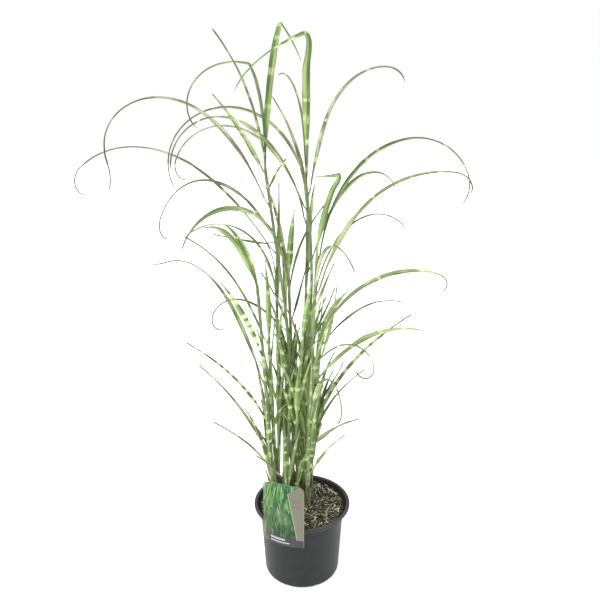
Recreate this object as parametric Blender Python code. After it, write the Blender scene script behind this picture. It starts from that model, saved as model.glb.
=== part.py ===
# A clump of zebra-banded miscanthus grass growing in a three-litre nursery pot, with its plant label.
# Metres, +Z up. The origin is the centre of the pot's base, on the surface that the pot stands on.
# The pot's front, where the label hangs, faces -Y. Headings are degrees from +X towards +Y.

import math
from collections import namedtuple

import bmesh
import bpy
from mathutils import Matrix, Vector

FIT_GAP = 0.0004  # left between pieces that touch

# Pot: a thin moulded tub whose wall flares under its rim, and a lip that turns out and down.
POT_HEIGHT = 0.150
RIM_RADIUS = 0.095
RIM_DROP = 0.0036
RIM_WIDTH = 0.0060
RIM_BEVEL = 0.0010
WALL = 0.0018
WALL_TOP_RADIUS = 0.0820  # outside of the wall where the flare starts
WALL_TOP = 0.132
FLARE_STEP = 0.0010  # the flare starts with a small step outwards
BASE_RADIUS = 0.0745
BASE_ROUND = 0.0050
BASE_CORNER = 0.3  # share of the base's rounding where its two flats meet
POT_SIDES = 48
DRAIN_HOLES = 8
DRAIN_HOLE = (0.012, 0.009, 0.008)  # along the radius, across it, and up
DRAIN_INSET = 0.003  # from the base's edge to the middle of a hole

# Compost: fills the pot to a shallow mound part of the way up the flare.
COMPOST_EDGE = 0.1412
COMPOST_MOUND = 0.1440
COMPOST_BEVEL = 0.0010
COMPOST_SHOULDER = (0.6, 0.7)  # how far out the mound bends, and its share of the rise there
COMPOST_SIDES = 40
FOOT_HEIGHT = 0.120  # the culms' feet stand this high, sunk in the compost
SOCKET_TOP = 0.152

# Plant label: a curved card in front of the rim, held by a stake that steps over the rim.
CARD_RADIUS = 0.0972
CARD_THICKNESS = 0.0007
CARD_BOTTOM = 0.1145
CARD_TOP = 0.2440
CARD_ARCH = 0.0035
CARD_CORNER = 0.011
CARD_CORNER_STEPS = (0, 0.03, 0.10, 0.22, 0.40, 0.65, 1.0)  # columns across a corner
CARD_MIDDLE_STEPS = 8
CARD_LEFT = -138  # heading of the card's left edge
CARD_RIGHT = -88
STAKE_HEADING = -113
STAKE_WIDTH = 0.014
STAKE_THICKNESS = 0.0010
STAKE_RADIUS = 0.0735  # where it goes down into the compost
STAKE_FOOT = 0.085
STAKE_OVER_RIM = 0.0020  # from the rim up to the middle of the stake
STAKE_POINT = 0.012
STAKE_TIP = 0.3  # the pointed end's share of the stake's width

# Culms: upright stems with their leaf sheaths, each through a few points (x, y, z) above its foot.
CULM_SIDES = 8
Culm = namedtuple("Culm", "foot points foot_radius top_radius")
CULMS = {
    "a": Culm((-0.053, -0.016), [(-0.064, -0.024, 0.360), (-0.078, -0.035, 0.605)], 0.0038, 0.0021),
    "b": Culm((-0.046, 0.001), [(-0.055, -0.001, 0.310), (-0.061, -0.005, 0.495)], 0.0035, 0.0022),
    "c": Culm((-0.050, 0.018), [(-0.046, 0.027, 0.340), (-0.047, 0.035, 0.545)], 0.0030, 0.0018),
    "d": Culm((-0.034, -0.010), [(-0.024, -0.003, 0.460), (-0.062, 0.005, 0.800)], 0.0034, 0.0017),
    "e": Culm((-0.021, 0.020), [(-0.018, 0.030, 0.360), (-0.025, 0.044, 0.600)], 0.0032, 0.0020),
    "f": Culm((-0.008, 0.002), [(-0.010, -0.010, 0.310), (0.000, -0.030, 0.500)], 0.0032, 0.0020),
    "g": Culm((0.003, 0.016), [(0.004, 0.016, 0.360), (0.017, 0.016, 0.600), (0.007, 0.015, 0.775)],
              0.0036, 0.0018),
    "h": Culm((0.010, -0.001), [(0.014, -0.012, 0.380), (0.025, -0.025, 0.655)], 0.0046, 0.0022),
    "i": Culm((0.017, 0.026), [(0.023, 0.032, 0.330), (0.036, 0.040, 0.475)], 0.0034, 0.0021),
    "j": Culm((-0.036, 0.040), [(-0.025, 0.045, 0.450), (-0.064, 0.055, 0.780)], 0.0032, 0.0017),
    "k": Culm((-0.003, 0.046), [(0.004, 0.048, 0.360), (0.010, 0.060, 0.740)], 0.0034, 0.0017),
}

# Leaves, for each culm. `height` is where the leaf leaves its culm, and TOP is the culm's own end.
# `lean` is its slope there in degrees from upright, and `arch` is how much further it bends over
# by its tip. A low `bend` spreads that along the leaf, and a high one keeps it for the end.
# `hook` curls the dry tip on, and `crease` is a sharp fold: how far along, and by how much.
TOP = None
BLADE_STATIONS = 14
BLADE_STEPS = 240
BLADE_CHANNEL = 0.14  # how far the edges stand above the midrib, as a share of the width
BLADE_KEEL = 0.0006
BLADE_SEAT = 0.1  # a leaf starts this share of its width away from its culm
KEEL_BACK = 0.2  # the midrib's upper side, as a share of the keel
KEEL_FADE = 0.6
HOOK_START = 0.85
HOOK_GROWTH = 1.5
CREASE_LENGTH = 0.012
Leaf = namedtuple("Leaf", "height heading length width lean arch bend hook crease",
                  defaults=(0, None))
LEAVES = {
    "a": [
        Leaf(TOP, 238, 0.205, 0.0090, 27, 68, 2.2),
        Leaf(0.595, 128, 0.170, 0.0080, 2, 90, 1.0),
        Leaf(0.470, 215, 0.182, 0.0085, 9, 28, 0.6),
        Leaf(0.412, 158, 0.372, 0.0070, 19, 144, 3.0, -90),
        Leaf(0.337, 195, 0.235, 0.0080, 15, 38, 0.6),
        Leaf(0.235, 225, 0.206, 0.0050, 25, 25, 0.6),
    ],
    "b": [
        Leaf(TOP, 262, 0.160, 0.0100, 2, 8, 1.0),
        Leaf(0.485, 205, 0.275, 0.0060, 21, 41, 2.1),
        Leaf(0.225, 140, 0.277, 0.0055, 22, 50, 0.6),
    ],
    "c": [
        Leaf(TOP, 205, 0.285, 0.0050, 5, 130, 1.8),
        Leaf(0.540, 75, 0.245, 0.0080, 9, -9, 0.6),
    ],
    "d": [
        Leaf(TOP, 50, 0.320, 0.0115, 0, 28, 1.1, 0, (0.75, 114)),
        Leaf(0.795, 205, 0.365, 0.0060, 0, 178, 2.7, 0, (0.50, 52)),
        Leaf(0.785, 245, 0.294, 0.0045, 0, 58, 0.7),
        Leaf(0.738, 188, 0.485, 0.0080, 24, 236, 2.2, -120),
    ],
    "e": [
        Leaf(TOP, 295, 0.138, 0.0110, 9, 13, 3.2),
        Leaf(0.582, 222, 0.354, 0.0080, 6, 155, 1.5),
        Leaf(0.577, 50, 0.200, 0.0050, 6, 55, 0.8),
        Leaf(0.493, 212, 0.245, 0.0045, 43, 256, 3.5),
    ],
    "f": [
        Leaf(TOP, -60, 0.130, 0.0090, 10, 10, 1.0),
    ],
    "g": [
        Leaf(TOP, 228, 0.436, 0.0130, 0, 39, 6.0, 0, (0.56, 107)),
        Leaf(0.726, 218, 0.387, 0.0070, 27, 162, 2.3),
        Leaf(0.752, -25, 0.322, 0.0065, 10, 127, 2.8, 42),
    ],
    "h": [
        Leaf(TOP, -50, 0.222, 0.0120, 4, 30, 0.6, 0, (0.71, -130)),
        Leaf(0.645, 18, 0.500, 0.0070, 9, 185, 1.6, 49),
        Leaf(0.584, -20, 0.407, 0.0075, 17, 103, 1.8, 120),
        Leaf(0.588, -75, 0.266, 0.0060, 1, 121, 0.9),
        Leaf(0.488, -12, 0.330, 0.0080, 24, 103, 1.6, 160),
        Leaf(0.451, -40, 0.233, 0.0040, 43, 312, 2.7),
        Leaf(0.406, -32, 0.281, 0.0075, 33, 59, 1.7),
        Leaf(0.332, -70, 0.282, 0.0095, 20, 256, 2.7),
        Leaf(0.595, 45, 0.319, 0.0045, 14, 120, 1.0),
    ],
    "i": [
        Leaf(TOP, -65, 0.171, 0.0110, 11, 44, 0.6),
        Leaf(0.461, 50, 0.315, 0.0045, 44, 69, 0.6),
        Leaf(0.437, -10, 0.156, 0.0070, 16, -14, 1.5),
        Leaf(0.279, 8, 0.328, 0.0080, 0, 60, 0.6),
        Leaf(0.268, 35, 0.189, 0.0050, 3, 71, 0.6),
    ],
    "j": [
        Leaf(TOP, 135, 0.209, 0.0085, 33, 20, 0.6),
        Leaf(0.670, 142, 0.451, 0.0060, 32, 147, 1.1, 165),
        Leaf(0.641, 165, 0.553, 0.0060, 36, 126, 1.8, 144),
        Leaf(0.520, 98, 0.270, 0.0080, 8, 100, 1.6),
    ],
    "k": [
        Leaf(TOP, 140, 0.205, 0.0060, 6, 37, 0.9),
        Leaf(0.729, 180, 0.462, 0.0075, 2, 210, 1.4),
        Leaf(0.694, 155, 0.463, 0.0070, 11, 175, 1.4, 128),
        Leaf(0.600, 40, 0.343, 0.0070, 21, 131, 2.2),
        Leaf(0.560, 82, 0.290, 0.0085, 7, 100, 1.7),
    ],
}

COLOURS = {
    "pot": ((0.045, 0.047, 0.050), 0.55),
    "compost": ((0.040, 0.026, 0.016), 0.95),
    "label": ((0.16, 0.40, 0.14), 0.35),
    "culm": ((0.12, 0.19, 0.045), 0.55),
    "leaf": ((0.15, 0.26, 0.065), 0.50),
}


def clear_scene():
    for thing in list(bpy.data.objects):
        bpy.data.objects.remove(thing, do_unlink=True)


def material(name, finish):
    colour, roughness = COLOURS[finish]
    made = bpy.data.materials.new(name)
    made.use_nodes = True
    shader = made.node_tree.nodes["Principled BSDF"]
    shader.inputs["Base Color"].default_value = (*colour, 1)
    shader.inputs["Roughness"].default_value = roughness
    shader.inputs["Metallic"].default_value = 0
    return made


def piece(name, shape, finish, crease_angle=40):
    bmesh.ops.recalc_face_normals(shape, faces=shape.faces)
    mesh = bpy.data.meshes.new(name)
    shape.to_mesh(mesh)
    shape.free()
    mesh.shade_smooth()
    mesh.set_sharp_from_angle(angle=math.radians(crease_angle))
    made = bpy.data.objects.new(name, mesh)
    bpy.context.scene.collection.objects.link(made)
    if finish:
        mesh.materials.append(material(name, finish))
    return made


def boolean(target, other, operation):
    # Joins or cuts with a helper that itself stays out of the model.
    other.hide_render = True
    other.display_type = "WIRE"
    step = target.modifiers.new(operation.lower(), "BOOLEAN")
    step.operation = operation
    step.solver = "EXACT"
    step.object = other


def heading(degrees):
    return Vector((math.cos(math.radians(degrees)), math.sin(math.radians(degrees)), 0))


def skin(shape, rings, pointed=False):
    # Closes a run of equal rings into one body. A pointed body ends in the last ring's single point.
    sides = len(rings[0])
    for here, there in zip(rings, rings[1:]):
        for side in range(sides):
            after = (side + 1) % sides
            if len(there) == 1:
                shape.faces.new((here[side], here[after], there[0]))
            else:
                shape.faces.new((here[side], here[after], there[after], there[side]))
    shape.faces.new(tuple(reversed(rings[0])))
    if not pointed:
        shape.faces.new(tuple(rings[-1]))


def turned(shape, profile, sides):
    # Turns a profile of (radius, height), whose two ends lie on the axis, about the pot's axis.
    rings = []
    for radius, height in profile[1:-1]:
        ring = []
        for side in range(sides):
            spot = heading(360 * side / sides) * radius
            ring.append(shape.verts.new((spot.x, spot.y, height)))
        rings.append(ring)
    for here, there in zip(rings, rings[1:]):
        for side in range(sides):
            after = (side + 1) % sides
            shape.faces.new((here[side], here[after], there[after], there[side]))
    for end, ring in ((profile[0], rings[0]), (profile[-1], rings[-1])):
        centre = shape.verts.new((0, 0, end[1]))
        for side in range(sides):
            shape.faces.new((ring[side], ring[(side + 1) % sides], centre))


def pot():
    flange = POT_HEIGHT - WALL
    neck = RIM_RADIUS - RIM_WIDTH  # inside of the flare at the top
    flare_foot = WALL_TOP_RADIUS + FLARE_STEP
    lip_end = POT_HEIGHT - RIM_DROP
    profile = [
        (0, 0),
        (BASE_RADIUS - BASE_ROUND, 0),
        (BASE_RADIUS - BASE_ROUND * BASE_CORNER, BASE_ROUND * BASE_CORNER),
        (BASE_RADIUS, BASE_ROUND),
        (WALL_TOP_RADIUS, WALL_TOP),
        (flare_foot, WALL_TOP + FLARE_STEP),
        (neck, flange - RIM_BEVEL),
        (neck + WALL, flange),
        (RIM_RADIUS - WALL, flange),
        (RIM_RADIUS - WALL, lip_end),
        (RIM_RADIUS, lip_end),
        (RIM_RADIUS, POT_HEIGHT - RIM_BEVEL),
        (RIM_RADIUS - RIM_BEVEL, POT_HEIGHT),
        (neck + RIM_BEVEL, POT_HEIGHT),
        (neck, POT_HEIGHT - RIM_BEVEL),
        (flare_foot - WALL, WALL_TOP + WALL),
        (WALL_TOP_RADIUS - WALL, WALL_TOP),
        (BASE_RADIUS - WALL, BASE_ROUND),
        (BASE_RADIUS - BASE_ROUND, WALL),
        (0, WALL),
    ]
    shape = bmesh.new()
    turned(shape, profile, POT_SIDES)
    made = piece("pot", shape, "pot")

    holes = bmesh.new()
    for hole in range(DRAIN_HOLES):
        turn = 360 * (hole + 0.5) / DRAIN_HOLES
        place = Matrix.Translation(heading(turn) * (BASE_RADIUS - DRAIN_INSET))
        place @= Matrix.Rotation(math.radians(turn), 4, "Z")
        place @= Matrix.Diagonal((*DRAIN_HOLE, 1))
        bmesh.ops.create_cube(holes, size=1, matrix=place)
    boolean(made, piece("drain_hole_cutter", holes, None), "DIFFERENCE")


def smooth_path(points, steps):
    # A smooth curve through the points, with `steps` pieces between each pair.
    ends = [points[0] * 2 - points[1], *points, points[-1] * 2 - points[-2]]
    path = []
    for before, start, end, after in zip(ends, ends[1:], ends[2:], ends[3:]):
        for step in range(steps):
            t = step / steps
            path.append(0.5 * (2 * start + (end - before) * t
                               + (2 * before - 5 * start + 4 * end - after) * t ** 2
                               + (3 * start - before - 3 * end + after) * t ** 3))
    path.append(points[-1])
    return path


def culm_path(culm):
    foot = Vector((*culm.foot, FOOT_HEIGHT))
    points = [foot] + [Vector(point) for point in culm.points]
    return smooth_path(points, 4 if len(points) < 4 else 3)


def culm_radius(culm, height):
    share = (height - FOOT_HEIGHT) / (culm.points[-1][2] - FOOT_HEIGHT)
    return culm.foot_radius + (culm.top_radius - culm.foot_radius) * share


def on_culm(culm, height):
    # The culm's centre at a height, and its direction there.
    path = culm_path(culm)
    for low, high in zip(path, path[1:]):
        if height <= high.z or high is path[-1]:
            share = (height - low.z) / (high.z - low.z)
            return low.lerp(high, share), (high - low).normalized()


def tube(shape, path, radii, sides):
    rings = []
    for centre, radius in zip(path, radii):
        ring = []
        for side in range(sides):
            ring.append(shape.verts.new(centre + heading(360 * (side + 0.5) / sides) * radius))
        rings.append(ring)
    skin(shape, rings)


def culms():
    for letter, culm in CULMS.items():
        path = culm_path(culm)
        shape = bmesh.new()
        tube(shape, path, [culm_radius(culm, point.z) for point in path], CULM_SIDES)
        piece("culm_" + letter, shape, "culm")


def blade_points(leaf, start):
    # The midrib: the slope from upright grows along the leaf, all in the plane of its heading.
    out = heading(leaf.heading)
    step = leaf.length / BLADE_STEPS
    point = start.copy()
    points = [(point.copy(), math.radians(leaf.lean))]
    for index in range(BLADE_STEPS):
        along = (index + 0.5) / BLADE_STEPS
        slope = leaf.lean + leaf.arch * along ** leaf.bend
        if leaf.hook and along > HOOK_START:
            slope += leaf.hook * ((along - HOOK_START) / (1 - HOOK_START)) ** HOOK_GROWTH
        if leaf.crease:
            where, fold = leaf.crease
            slope += fold * min(max((along - where) / CREASE_LENGTH + 0.5, 0), 1)
        slope = math.radians(slope)
        point += (out * math.sin(slope) + Vector((0, 0, math.cos(slope)))) * step
        points.append((point.copy(), slope))
    return points


def station_marks(points):
    # Half of the stations follow the leaf's length and half its bending, so that curls stay round.
    turning = [0]
    for (_, here), (_, there) in zip(points, points[1:]):
        turning.append(turning[-1] + abs(there - here))
    marks = []
    reached = -1
    for index, turned_so_far in enumerate(turning):
        share = 0.5 * index / BLADE_STEPS + 0.5 * turned_so_far / turning[-1]
        if int(share * BLADE_STATIONS) > reached and index < BLADE_STEPS:
            reached = int(share * BLADE_STATIONS)
            marks.append(index)
    return marks


def blade_width(leaf, along):
    base = min(1, 0.5 + 1.6 * along)
    return leaf.width * base * (1 - along ** 1.8) ** 1.1


def leaf_start(culm, leaf):
    if leaf.height is TOP:
        end, direction = on_culm(culm, culm.points[-1][2])
        return end + direction * (FIT_GAP + leaf.width * BLADE_SEAT)
    centre, _ = on_culm(culm, leaf.height)
    reach = culm_radius(culm, leaf.height) + FIT_GAP + BLADE_KEEL + leaf.width * BLADE_SEAT
    return centre + heading(leaf.heading) * reach


def blade(name, culm, leaf):
    points = blade_points(leaf, leaf_start(culm, leaf))
    side = heading(leaf.heading + 90)
    shape = bmesh.new()
    rings = []
    for index in station_marks(points):
        centre, slope = points[index]
        along = index / BLADE_STEPS
        forward = heading(leaf.heading) * math.sin(slope) + Vector((0, 0, math.cos(slope)))
        upper = forward.cross(side)
        half = side * blade_width(leaf, along) / 2
        lift = upper * blade_width(leaf, along) * BLADE_CHANNEL
        keel = upper * BLADE_KEEL * (1 - KEEL_FADE * along)
        rings.append([shape.verts.new(spot) for spot in (
            centre - half + lift, centre - keel, centre + half + lift, centre + keel * KEEL_BACK)])
    rings.append([shape.verts.new(points[-1][0])])
    skin(shape, rings, pointed=True)
    piece(name, shape, "leaf", crease_angle=80)


def leaves():
    for letter, grown in LEAVES.items():
        for number, leaf in enumerate(grown, 1):
            blade(f"leaf_{letter}{number}", CULMS[letter], leaf)


def stake_path():
    # Inwards from the back of the card, over the rim, and down to a point in the compost.
    out = heading(STAKE_HEADING)
    over = POT_HEIGHT + STAKE_OVER_RIM
    return [
        out * (CARD_RADIUS + CARD_THICKNESS / 2) + Vector((0, 0, over)),
        out * STAKE_RADIUS + Vector((0, 0, over)),
        out * STAKE_RADIUS + Vector((0, 0, STAKE_FOOT)),
    ]


def stake(shape, grow=0.0):
    # A flat strap with one square bend. `grow` fattens it all round for the slot that it stands in.
    outer, bend, foot = stake_path()
    out = heading(STAKE_HEADING)
    up = Vector((0, 0, 1))
    half = heading(STAKE_HEADING + 90) * (STAKE_WIDTH / 2 + grow)
    thick = STAKE_THICKNESS / 2 + grow
    tip = half * STAKE_TIP
    rows = [
        (outer - up * thick, outer + up * thick, half),
        (bend - up * thick + out * thick, bend + up * thick - out * thick, half),
        (foot + out * thick + up * STAKE_POINT, foot - out * thick + up * STAKE_POINT, half),
        (foot + out * thick - up * grow, foot - out * thick - up * grow, tip),
    ]
    rings = []
    for under, over, wide in rows:
        rings.append([shape.verts.new(spot) for spot in (
            under - wide, under + wide, over + wide, over - wide)])
    skin(shape, rings)


def card(shape):
    # The card's columns stand closer together at its rounded top corners.
    corner_angle = math.degrees(CARD_CORNER / CARD_RADIUS)
    turns = [CARD_LEFT + corner_angle * step for step in CARD_CORNER_STEPS]
    left, right = turns[-1], CARD_RIGHT - corner_angle
    turns += [left + (right - left) * step / CARD_MIDDLE_STEPS for step in range(1, CARD_MIDDLE_STEPS)]
    turns += [CARD_RIGHT - corner_angle * step for step in reversed(CARD_CORNER_STEPS)]
    rings = []
    for turn in turns:
        inset = min(turn - CARD_LEFT, CARD_RIGHT - turn) * math.radians(1) * CARD_RADIUS
        cut = max(CARD_CORNER - inset, 0)
        corner = CARD_CORNER - math.sqrt(CARD_CORNER ** 2 - cut ** 2)
        middle_share = (turn - CARD_LEFT) / (CARD_RIGHT - CARD_LEFT)
        top = CARD_TOP - corner + CARD_ARCH * math.sin(math.pi * middle_share)
        inner = heading(turn) * CARD_RADIUS
        outer = heading(turn) * (CARD_RADIUS + CARD_THICKNESS)
        rings.append([shape.verts.new(spot) for spot in (
            inner + Vector((0, 0, CARD_BOTTOM)), outer + Vector((0, 0, CARD_BOTTOM)),
            outer + Vector((0, 0, top)), inner + Vector((0, 0, top)))])
    skin(shape, rings)


def plant_label():
    face = bmesh.new()
    card(face)
    made = piece("plant_label", face, "label")
    strap = bmesh.new()
    stake(strap)
    boolean(made, piece("label_stake_helper", strap, None), "UNION")


def compost():
    # Its sides keep clear of the wall's inside, which has more facets than the compost.
    clear = FIT_GAP * 1.3
    floor = WALL + FIT_GAP
    flare_foot = WALL_TOP_RADIUS + FLARE_STEP - WALL
    flare_low = WALL_TOP + WALL
    neck = RIM_RADIUS - RIM_WIDTH
    spread = (neck - flare_foot) / (POT_HEIGHT - RIM_BEVEL - flare_low)
    side_top = COMPOST_EDGE - COMPOST_BEVEL
    brim = flare_foot + spread * (side_top - flare_low) - clear
    reach, rise = COMPOST_SHOULDER
    profile = [
        (0, floor),
        (BASE_RADIUS - BASE_ROUND - FIT_GAP, floor),
        (BASE_RADIUS - WALL - clear, BASE_ROUND + FIT_GAP),
        (WALL_TOP_RADIUS - WALL - clear, WALL_TOP),
        (flare_foot - clear, flare_low),
        (brim, side_top),
        (brim - COMPOST_BEVEL, COMPOST_EDGE),
        (brim * reach, COMPOST_EDGE + (COMPOST_MOUND - COMPOST_EDGE) * rise),
        (0, COMPOST_MOUND),
    ]
    shape = bmesh.new()
    turned(shape, profile, COMPOST_SIDES)
    made = piece("compost", shape, "compost")

    sockets = bmesh.new()
    for culm in CULMS.values():
        foot, direction = on_culm(culm, FOOT_HEIGHT)
        bottom = foot - direction * FIT_GAP
        top = foot + direction * (SOCKET_TOP - FOOT_HEIGHT)
        tube(sockets, [bottom, top], [culm.foot_radius + FIT_GAP] * 2, CULM_SIDES)
    stake(sockets, grow=FIT_GAP)
    boolean(made, piece("socket_cutter", sockets, None), "DIFFERENCE")


clear_scene()
pot()
compost()
plant_label()
culms()
leaves()
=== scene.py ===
import math
import random
import bmesh
import bpy
from mathutils import Matrix, Vector, noise


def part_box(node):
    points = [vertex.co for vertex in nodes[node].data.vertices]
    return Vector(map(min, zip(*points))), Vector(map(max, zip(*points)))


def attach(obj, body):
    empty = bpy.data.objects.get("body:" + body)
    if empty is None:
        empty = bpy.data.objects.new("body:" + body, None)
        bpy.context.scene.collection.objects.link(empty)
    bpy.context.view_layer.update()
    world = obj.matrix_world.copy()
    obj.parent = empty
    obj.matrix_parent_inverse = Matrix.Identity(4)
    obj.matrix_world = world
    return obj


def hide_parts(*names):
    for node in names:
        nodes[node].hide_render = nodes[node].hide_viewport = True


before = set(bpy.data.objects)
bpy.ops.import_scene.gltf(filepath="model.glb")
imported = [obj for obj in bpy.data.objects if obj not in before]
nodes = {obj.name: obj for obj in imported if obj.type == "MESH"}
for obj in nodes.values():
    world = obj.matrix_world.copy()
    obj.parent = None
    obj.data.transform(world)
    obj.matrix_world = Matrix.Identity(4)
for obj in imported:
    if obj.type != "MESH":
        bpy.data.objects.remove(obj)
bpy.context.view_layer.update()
print("frame loaded,", len(nodes), "packed pieces")


# small helpers for places and directions

def heading(degrees):
    turn = math.radians(degrees)
    return Vector((math.cos(turn), math.sin(turn), 0))


def upward(height):
    return Vector((0, 0, height))


def ease(value, low=0.0, high=1.0):
    share = min(max((value - low) / (high - low), 0), 1)
    return share * share * (3 - 2 * share)


def between(start, end, share):
    return start + (end - start) * share


def smoothRun(points, spacing, least=3):
    # a smooth curve through unevenly spaced points, which may carry a width as a fourth number
    gaps = [(end - start).length for start, end in zip(points, points[1:])]
    slopes = [(end - start) / gap for start, end, gap in zip(points, points[1:], gaps)]
    tangents = [slopes[0]]
    for left, right, before, after in zip(slopes, slopes[1:], gaps, gaps[1:]):
        tangents.append((left * after + right * before) / (before + after))
    tangents.append(slopes[-1])
    run = []
    for index, gap in enumerate(gaps):
        steps = max(least, math.ceil(gap / spacing))
        for step in range(steps):
            t = step / steps
            run.append(points[index] * (2 * t ** 3 - 3 * t ** 2 + 1)
                       + tangents[index] * gap * (t ** 3 - 2 * t ** 2 + t)
                       + points[index + 1] * (3 * t ** 2 - 2 * t ** 3)
                       + tangents[index + 1] * gap * (t ** 3 - t ** 2))
    run.append(points[-1])
    return run


# shader building: a wire is a socket that takes part in sums, and a finish is a material being made

class Wire:
    def __init__(self, finish, socket):
        self.finish = finish
        self.socket = socket

    def out(self, name):
        return Wire(self.finish, self.socket.node.outputs[name])

    def maths(self, operation, first, second=0.0):
        return self.finish.add("ShaderNodeMath", {"operation": operation}, {0: first, 1: second})

    def __add__(self, other):
        return self.maths("ADD", self, other)

    def __sub__(self, other):
        return self.maths("SUBTRACT", self, other)

    def __mul__(self, other):
        return self.maths("MULTIPLY", self, other)

    def __truediv__(self, other):
        return self.maths("DIVIDE", self, other)

    def __radd__(self, other):
        return self.maths("ADD", other, self)

    def __rsub__(self, other):
        return self.maths("SUBTRACT", other, self)

    def __rmul__(self, other):
        return self.maths("MULTIPLY", other, self)

    def __abs__(self):
        return self.maths("ABSOLUTE", self)

    def __gt__(self, other):
        return self.maths("GREATER_THAN", self, other)

    def __lt__(self, other):
        return self.maths("LESS_THAN", self, other)


class Finish:
    def __init__(self, name, **constants):
        self.material = bpy.data.materials.new(name)
        self.material.use_nodes = True
        self.tree = self.material.node_tree
        self.surface = self.tree.nodes["Principled BSDF"]
        for key, value in constants.items():
            self.surface.inputs[key.replace("_", " ")].default_value = value

    def put(self, socket, value):
        if isinstance(value, Wire):
            self.tree.links.new(value.socket, socket)
        elif isinstance(value, tuple) and socket.type == "RGBA":
            socket.default_value = (*value, 1)
        else:
            socket.default_value = value

    def add(self, kind, settings=None, inputs=None, output=0):
        node = self.tree.nodes.new(kind)
        for key, value in (settings or {}).items():
            if key == "stops":
                self.setStops(node.color_ramp, value)
            else:
                setattr(node, key, value)
        for key, value in (inputs or {}).items():
            self.put(node.inputs[key], value)
        return Wire(self, node.outputs[output])

    def setStops(self, ramp, stops):
        for place, _ in stops[1:-1]:
            ramp.elements.new(place)
        for element, (place, colour) in zip(ramp.elements, stops):
            element.position = place
            element.color = (*colour, 1)
        ramp.elements[-1].position = stops[-1][0]
        ramp.elements[-1].color = (*stops[-1][1], 1)

    def split(self, vector):
        parts = self.add("ShaderNodeSeparateXYZ", inputs={0: vector})
        return parts.out("X"), parts.out("Y"), parts.out("Z")

    def attribute(self, name):
        # the three numbers that a mesh carries under this name
        return self.split(self.add("ShaderNodeAttribute", {"attribute_name": name}, output="Vector"))

    def place(self):
        return self.add("ShaderNodeTexCoord", output="Object")

    def point(self, x, y, z=0.0):
        return self.add("ShaderNodeCombineXYZ", inputs={0: x, 1: y, 2: z})

    def stretch(self, vector, scale):
        return self.add("ShaderNodeVectorMath", {"operation": "MULTIPLY"}, {0: vector, 1: scale})

    def noise(self, vector, scale, detail=3.0, roughness=0.55):
        return self.add("ShaderNodeTexNoise", inputs={
            "Vector": vector, "Scale": scale, "Detail": detail, "Roughness": roughness})

    def streaks(self, x, y, z=0.0, detail=3.0, roughness=0.55):
        # noise drawn out one way, because x and y come with scales of their own
        return self.noise(self.point(x, y, z), 1, detail, roughness)

    def ease(self, value, low, high):
        return self.add("ShaderNodeMapRange", {"interpolation_type": "SMOOTHSTEP"}, {
            "Value": value, "From Min": low, "From Max": high})

    def mix(self, factor, first, second):
        return self.add("ShaderNodeMix", {"data_type": "RGBA"}, {0: factor, 6: first, 7: second}, 2)

    def ramp(self, value, stops):
        return self.add("ShaderNodeValToRGB", {"stops": stops}, {0: value})

    def wear(self, colour, roughness, height=None, strength=0.3, depth=0.0005):
        # joins the finished colour, roughness and surface relief to the shader
        self.put(self.surface.inputs["Base Color"], colour)
        self.put(self.surface.inputs["Roughness"], roughness)
        if height is not None:
            bump = self.add("ShaderNodeBump", inputs={
                "Strength": strength, "Distance": depth, "Height": height})
            self.put(self.surface.inputs["Normal"], bump)
        return self.material


# mesh building

def newShape():
    shape = bmesh.new()
    shape.verts.layers.float_vector.new("run")
    shape.verts.layers.float_vector.new("trait")
    return shape


def addVertex(shape, spot, run, trait=(0, 0, 0)):
    # run and trait are what the finishes read
    layers = shape.verts.layers.float_vector
    vertex = shape.verts.new(spot)
    vertex[layers["run"]] = run
    vertex[layers["trait"]] = trait
    return vertex


def turnedRing(shape, radius, height, spokes):
    return [shape.verts.new(heading(360 * spoke / spokes) * radius + upward(height))
            for spoke in range(spokes)]


def skinRings(shape, rings, cap=True):
    # joins a run of equal rings, and caps both ends; the last may be a single point
    sides = len(rings[0])
    for here, there in zip(rings, rings[1:]):
        for side in range(sides):
            after = (side + 1) % sides
            if len(there) == 1:
                shape.faces.new((here[side], here[after], there[0]))
            else:
                shape.faces.new((here[side], here[after], there[after], there[side]))
    if cap:
        shape.faces.new(tuple(reversed(rings[0])))
        if len(rings[-1]) > 2:
            shape.faces.new(tuple(rings[-1]))


def skinTurned(shape, rings, firstHeight, lastHeight):
    # closes rings about the pot's axis with a fan of faces at either end
    skinRings(shape, rings, cap=False)
    for ring, height in ((rings[0], firstHeight), (rings[-1], lastHeight)):
        centre = shape.verts.new(upward(height))
        for here, after in zip(ring, ring[1:] + ring[:1]):
            shape.faces.new((here, after, centre))


def makePiece(name, shape, material, replaced=(), sharp=50):
    bmesh.ops.recalc_face_normals(shape, faces=shape.faces)
    mesh = bpy.data.meshes.new(name)
    shape.to_mesh(mesh)
    shape.free()
    mesh.shade_smooth()
    mesh.set_sharp_from_angle(angle=math.radians(sharp))
    mesh.materials.append(material)
    made = bpy.data.objects.new(name, mesh)
    bpy.context.scene.collection.objects.link(made)
    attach(made, "root")
    if replaced:
        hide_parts(*replaced)
    return made


# nursery pot

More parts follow.
